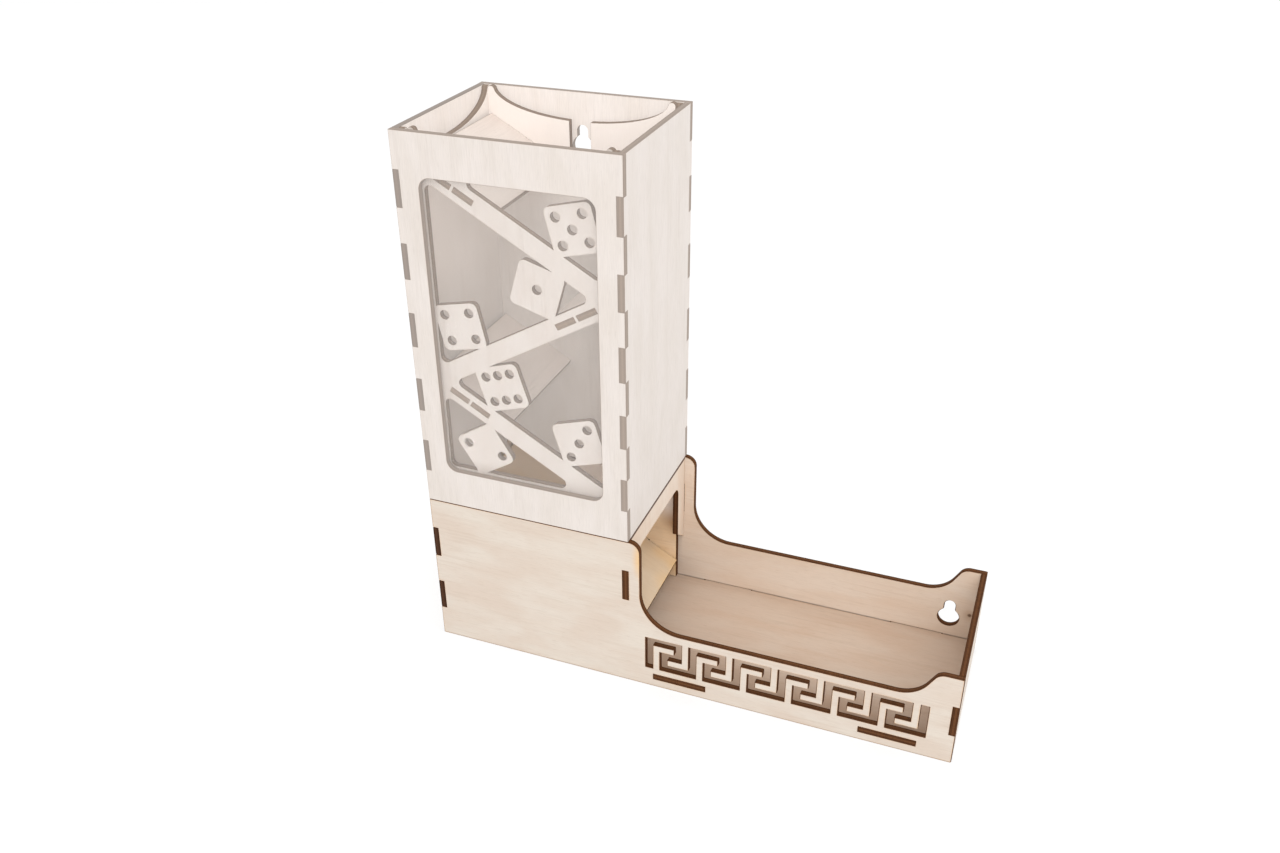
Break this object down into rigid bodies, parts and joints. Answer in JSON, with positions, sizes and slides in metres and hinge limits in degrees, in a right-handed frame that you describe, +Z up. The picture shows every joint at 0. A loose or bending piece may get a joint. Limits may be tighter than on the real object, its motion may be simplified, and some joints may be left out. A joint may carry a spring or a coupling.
{
  "type": "dice tower",
  "caption": "Stacking plywood dice tower with a windowed chamber of sloping ramps on a base with an exit arch and a roll-out tray.",
  "frame": {"origin": "centre of the whole footprint, on the surface that the base stands on", "axes": "+X from the tower to the end of the tray, +Y to the back, +Z up; the window and the fret face -Y"},
  "size_m": [0.238, 0.076, 0.242],
  "materials": {
    "base_birch": "unfinished birch plywood, light tan, with dark brown laser-cut edges",
    "chamber_birch": "pale birch plywood, with grey-brown laser-cut edges",
    "clear_pane": "clear sheet, polished"
  },
  "bodies": {
    "base_unit": {"base_front_panel": "base_birch", "base_back_panel": "base_birch", "base_left_panel": "base_birch", "tray_end_panel": "base_birch", "tray_floor": "base_birch", "exit_divider": "base_birch", "base_ramp": "base_birch", "base_front_liner": "base_birch", "base_back_liner": "base_birch", "base_left_liner": "base_birch"},
    "tower_chamber": {"chamber_front_panel": "chamber_birch", "chamber_back_panel": "chamber_birch", "chamber_left_panel": "chamber_birch", "chamber_right_panel": "chamber_birch", "window_pane": "clear_pane", "dice_screen": "chamber_birch", "chamber_back_liner": "chamber_birch", "chamber_left_liner": "chamber_birch", "chamber_right_liner": "chamber_birch", "ramp_upper": "chamber_birch", "ramp_middle": "chamber_birch", "ramp_lower": "chamber_birch"}
  },
  "joints": [
    {"name": "chamber_lift", "type": "slide", "parent": "base_unit", "child": "tower_chamber", "axis": [0, 0, 1], "range_m": [0, 0.05]}
  ]
}
